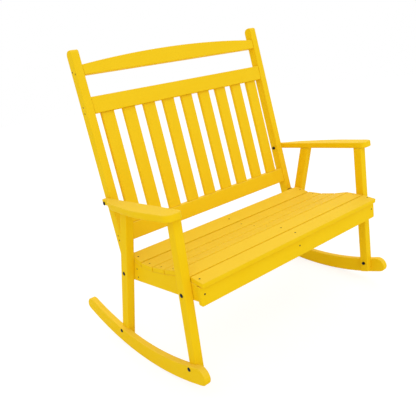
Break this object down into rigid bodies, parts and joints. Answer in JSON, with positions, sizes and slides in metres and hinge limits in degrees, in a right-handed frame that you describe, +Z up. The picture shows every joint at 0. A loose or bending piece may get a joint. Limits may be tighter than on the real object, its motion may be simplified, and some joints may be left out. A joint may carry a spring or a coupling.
{
  "type": "rocking bench",
  "caption": "Two-seat porch rocking bench of plastic lumber with a slatted back, dished slatted seat, curved arms and bolted runners.",
  "frame": {"origin": "centre of the bounding box in X and Y, on the floor plane under the runners", "axes": "+X across the seat, +Y toward the back, -Y the open front, +Z up"},
  "size_m": [1.162, 0.8634, 1.2286],
  "materials": {
    "lumber": "satin, coloured all through",
    "black_fastener": "black coated steel, semi-matt"
  },
  "bodies": {
    "root": {"arm_bolt_left": "black_fastener", "arm_bolt_right": "black_fastener", "arm_left": "lumber", "arm_nut_left": "black_fastener", "arm_nut_right": "black_fastener", "arm_right": "lumber", "back_post_left": "lumber", "back_post_right": "lumber", "back_slat_1": "lumber", "back_slat_2": "lumber", "back_slat_3": "lumber", "back_slat_4": "lumber", "back_slat_5": "lumber", "back_slat_6": "lumber", "back_slat_7": "lumber", "back_slat_8": "lumber", "back_slat_9": "lumber", "centre_seat_rail": "lumber", "crest_rail": "lumber", "front_apron": "lumber", "front_leg_left": "lumber", "front_leg_right": "lumber", "front_rocker_bolt_left": "black_fastener", "front_rocker_bolt_right": "black_fastener", "front_rocker_nut_left": "black_fastener", "front_rocker_nut_right": "black_fastener", "front_seat_bolt_left": "black_fastener", "front_seat_bolt_right": "black_fastener", "front_seat_nut_left": "black_fastener", "front_seat_nut_right": "black_fastener", "lower_back_rail": "lumber", "rear_leg_left": "lumber", "rear_leg_right": "lumber", "rear_rocker_bolt_left": "black_fastener", "rear_rocker_bolt_right": "black_fastener", "rear_rocker_nut_left": "black_fastener", "rear_rocker_nut_right": "black_fastener", "rear_seat_bolt_left": "black_fastener", "rear_seat_bolt_right": "black_fastener", "rear_seat_nut_left": "black_fastener", "rear_seat_nut_right": "black_fastener", "rear_seat_stretcher": "lumber", "rocker_left": "lumber", "rocker_right": "lumber", "seat_slat_1": "lumber", "seat_slat_2": "lumber", "seat_slat_3": "lumber", "seat_slat_4": "lumber", "seat_slat_5": "lumber", "seat_slat_6": "lumber", "side_rail_left": "lumber", "side_rail_right": "lumber", "upper_back_rail": "lumber"}
  },
  "joints": []
}
